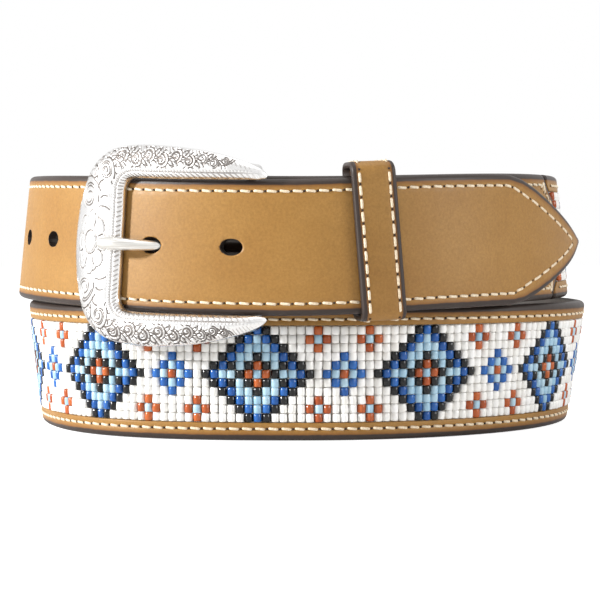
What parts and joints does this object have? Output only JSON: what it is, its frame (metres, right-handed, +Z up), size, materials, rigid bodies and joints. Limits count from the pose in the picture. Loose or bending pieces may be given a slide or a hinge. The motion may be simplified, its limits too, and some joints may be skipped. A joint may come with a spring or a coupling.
{
  "type": "beaded belt",
  "caption": "Leather waist belt with a woven glass bead band, billet with holes, keeper and cast buckle, fastened and doubled into two turns standing on edge.",
  "frame": {"origin": "bottom centre of the belt's box, where it stands on its edge", "axes": "+X to the right along the front, +Y to the back, +Z up"},
  "size_m": [0.1814, 0.1598, 0.0843],
  "materials": {
    "lining": "dark brown grained lining leather, edges painted",
    "billet": "smooth tan vegetable tanned leather, dark painted edges",
    "buckle_tab": "smooth tan vegetable tanned leather, dark painted edges",
    "top_border": "smooth tan vegetable tanned leather, dark painted edges",
    "bottom_border": "smooth tan vegetable tanned leather, dark painted edges",
    "bead_panel": "opaque glass seed beads woven on thread, white with blue, black and rust figures",
    "keeper": "smooth tan vegetable tanned leather, dark painted edges",
    "buckle_frame": "antiqued silver plated casting, dark in the grooves",
    "tongue": "brushed silver plated metal"
  },
  "bodies": {
    "root": {"lining": "lining", "billet": "billet", "buckle_tab": "buckle_tab", "top_border": "top_border", "bottom_border": "bottom_border", "bead_panel": "bead_panel", "keeper": "keeper", "buckle_frame": "buckle_frame", "tongue": "tongue"}
  },
  "joints": []
}
